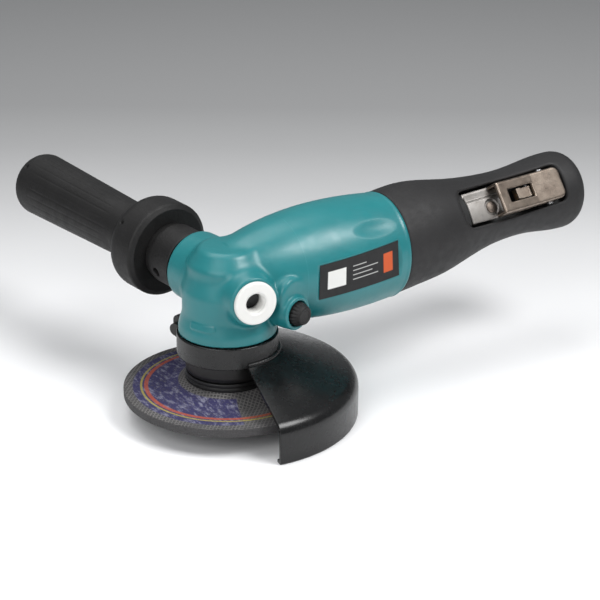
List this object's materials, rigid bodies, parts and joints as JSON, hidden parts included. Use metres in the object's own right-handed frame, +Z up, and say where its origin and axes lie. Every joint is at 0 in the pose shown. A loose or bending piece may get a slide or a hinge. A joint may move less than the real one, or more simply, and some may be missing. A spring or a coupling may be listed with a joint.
{
  "type": "pneumatic right-angle grinder",
  "caption": "Hand-held air grinder: teal right-angle gear head and motor barrel, black rubber grip with throttle lever, side handle, half guard and depressed-centre grinding wheel.",
  "frame": {"origin": "on the spindle axis, in the plane of the wheel's grinding face", "axes": "+Z up along the spindle, away from the work; +X along the motor to the rear grip; +Y to the side handle"},
  "size_m": [0.297, 0.2605, 0.1104],
  "materials": {
    "teal_paint": "satin teal enamel on cast aluminium",
    "grip_rubber": "soft matte black rubber",
    "handle_plastic": "fine-grained black moulding",
    "guard_paint": "semi-gloss black enamel on pressed steel",
    "black_oxide": "blackened steel",
    "white_nylon": "white nylon",
    "nickel_plate": "worn satin nickel plate",
    "steel": "ground steel",
    "aluminium": "machined aluminium",
    "abrasive": "resin-bonded abrasive grain with glass mesh",
    "brass": "turned brass",
    "cast_iron": "ground cast iron",
    "vane_plastic": "fibre-filled phenolic",
    "felt": "pressed felt",
    "seal_rubber": "smooth black rubber"
  },
  "bodies": {
    "housing": {"gear_head": "teal_paint", "motor_housing": "teal_paint", "rear_grip": "grip_rubber", "valve_body": "aluminium", "bearing_cap": "black_oxide", "left_handle_insert": "white_nylon", "right_handle_insert": "white_nylon", "handle_stud": "steel", "handle_lock_collar": "handle_plastic", "side_handle": "handle_plastic", "motor_cylinder": "cast_iron", "front_end_plate": "cast_iron", "rear_end_plate": "cast_iron", "front_rotor_bearing": "steel", "rear_rotor_bearing": "steel", "upper_spindle_bearing": "steel", "lower_spindle_bearing": "steel", "spindle_seal": "seal_rubber", "inlet_bush": "steel", "inlet_screen": "brass", "muffler": "felt", "valve_seat": "brass", "valve_spring": "steel", "valve_cap": "brass", "lever_pivot_pin": "steel", "lock_spring": "steel"},
    "spindle": {"spindle": "steel", "bevel_gear": "steel", "gear_key": "steel", "inner_flange": "black_oxide", "grinding_wheel": "abrasive", "wheel_nut": "black_oxide"},
    "rotor": {"rotor": "steel", "bevel_pinion": "steel", "vane_1": "vane_plastic", "vane_2": "vane_plastic", "vane_3": "vane_plastic", "vane_4": "vane_plastic"},
    "guard": {"wheel_guard": "guard_paint", "guard_clamp_screw": "black_oxide", "guard_clamp_nut": "black_oxide"},
    "lever": {"throttle_lever": "nickel_plate", "lever_pad": "nickel_plate", "latch_pin": "steel"},
    "latch": {"lock_off_latch": "nickel_plate"},
    "valve": {"valve_stem": "brass"},
    "button": {"lock_button": "handle_plastic", "lock_pin": "steel"}
  },
  "joints": [
    {"name": "spindle_spin", "type": "hinge", "parent": "housing", "child": "spindle", "pos_m": [0, 0, 0], "axis": [0, 0, 1], "continuous": true},
    {"name": "rotor_spin", "type": "hinge", "parent": "housing", "child": "rotor", "pos_m": [0, 0, 0.066], "axis": [1, 0, 0], "continuous": true},
    {"name": "guard_turn", "type": "hinge", "parent": "housing", "child": "guard", "pos_m": [0, 0, 0], "axis": [0, 0, 1], "range_deg": [-60, 60]},
    {"name": "lever_squeeze", "type": "hinge", "parent": "housing", "child": "lever", "pos_m": [0.21038, -0.01409, 0.08457], "axis": [0.0506, -0.5592, -0.8275], "range_deg": [0, 5], "stiffness_Nm_per_rad": 4, "springref_deg": -5.73},
    {"name": "valve_slide", "type": "slide", "parent": "housing", "child": "valve", "axis": [0.0341, 0.829, -0.5581], "range_m": [0, 0.003], "deforming": ["valve_spring"]},
    {"name": "latch_flip", "type": "hinge", "parent": "lever", "child": "latch", "pos_m": [0.19739, -0.01451, 0.08406], "axis": [0.0506, -0.5592, -0.8275], "range_deg": [0, 20], "stiffness_Nm_per_rad": 0.05, "springref_deg": -17.19},
    {"name": "lock_press", "type": "slide", "parent": "housing", "child": "button", "axis": [-0.2588, 0.9659, 0], "range_m": [0, 0.004], "stiffness_N_per_m": 600, "springref_m": -0.003, "deforming": ["lock_spring"]}
  ],
  "couplings": [
    {"joint": "rotor_spin", "follows": "spindle_spin", "ratio": 2.5},
    {"joint": "valve_slide", "follows": "lever_squeeze", "m_per_rad": 0.032}
  ]
}
